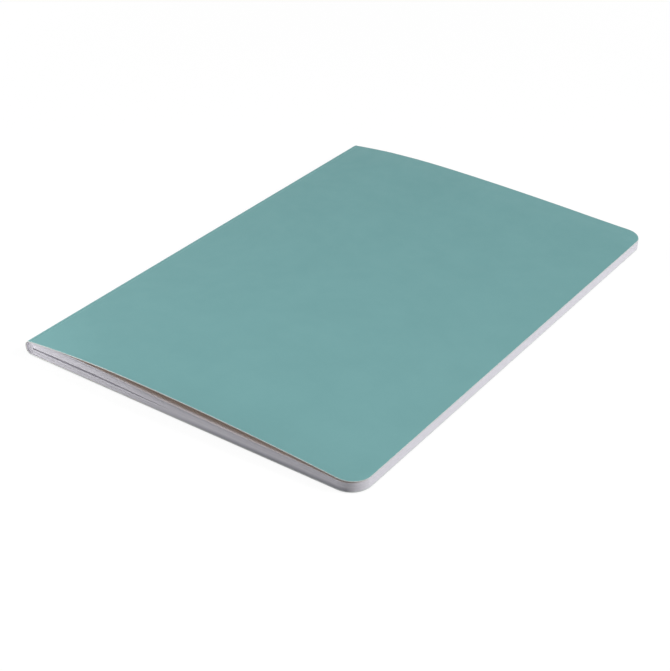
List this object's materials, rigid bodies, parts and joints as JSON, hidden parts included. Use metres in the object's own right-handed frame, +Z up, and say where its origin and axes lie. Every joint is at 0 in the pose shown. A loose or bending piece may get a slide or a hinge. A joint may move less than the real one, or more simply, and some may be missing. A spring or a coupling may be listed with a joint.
{
  "type": "composition notebook",
  "caption": "Thin A5 notebook: one thread-sewn section of folded sheets in a soft card cover with rounded fore-edge corners.",
  "frame": {"origin": "middle of the closed notebook's footprint, on the surface that it lies on", "axes": "+Z up through the front cover, +Y from the tail towards the head, +X from the spine towards the fore-edge"},
  "size_m": [0.1486, 0.21, 0.0083],
  "materials": {
    "page_paper": "matte",
    "cover_card": "matte",
    "sewing_thread": "matte"
  },
  "bodies": {
    "text_block": {"page_block": "page_paper", "cover_spine": "cover_card", "needle_thread": "sewing_thread", "bobbin_thread": "sewing_thread"},
    "front_panel": {"front_cover": "cover_card"},
    "back_panel": {"back_cover": "cover_card"}
  },
  "joints": [
    {"name": "front_cover_hinge", "type": "hinge", "parent": "text_block", "child": "front_panel", "pos_m": [-0.07079, 0, 0.00585], "axis": [0, -1, 0], "range_deg": [0, 180]},
    {"name": "back_cover_hinge", "type": "hinge", "parent": "text_block", "child": "back_panel", "pos_m": [-0.07079, 0, -0.00005], "axis": [0, 1, 0], "range_deg": [0, 180]}
  ]
}
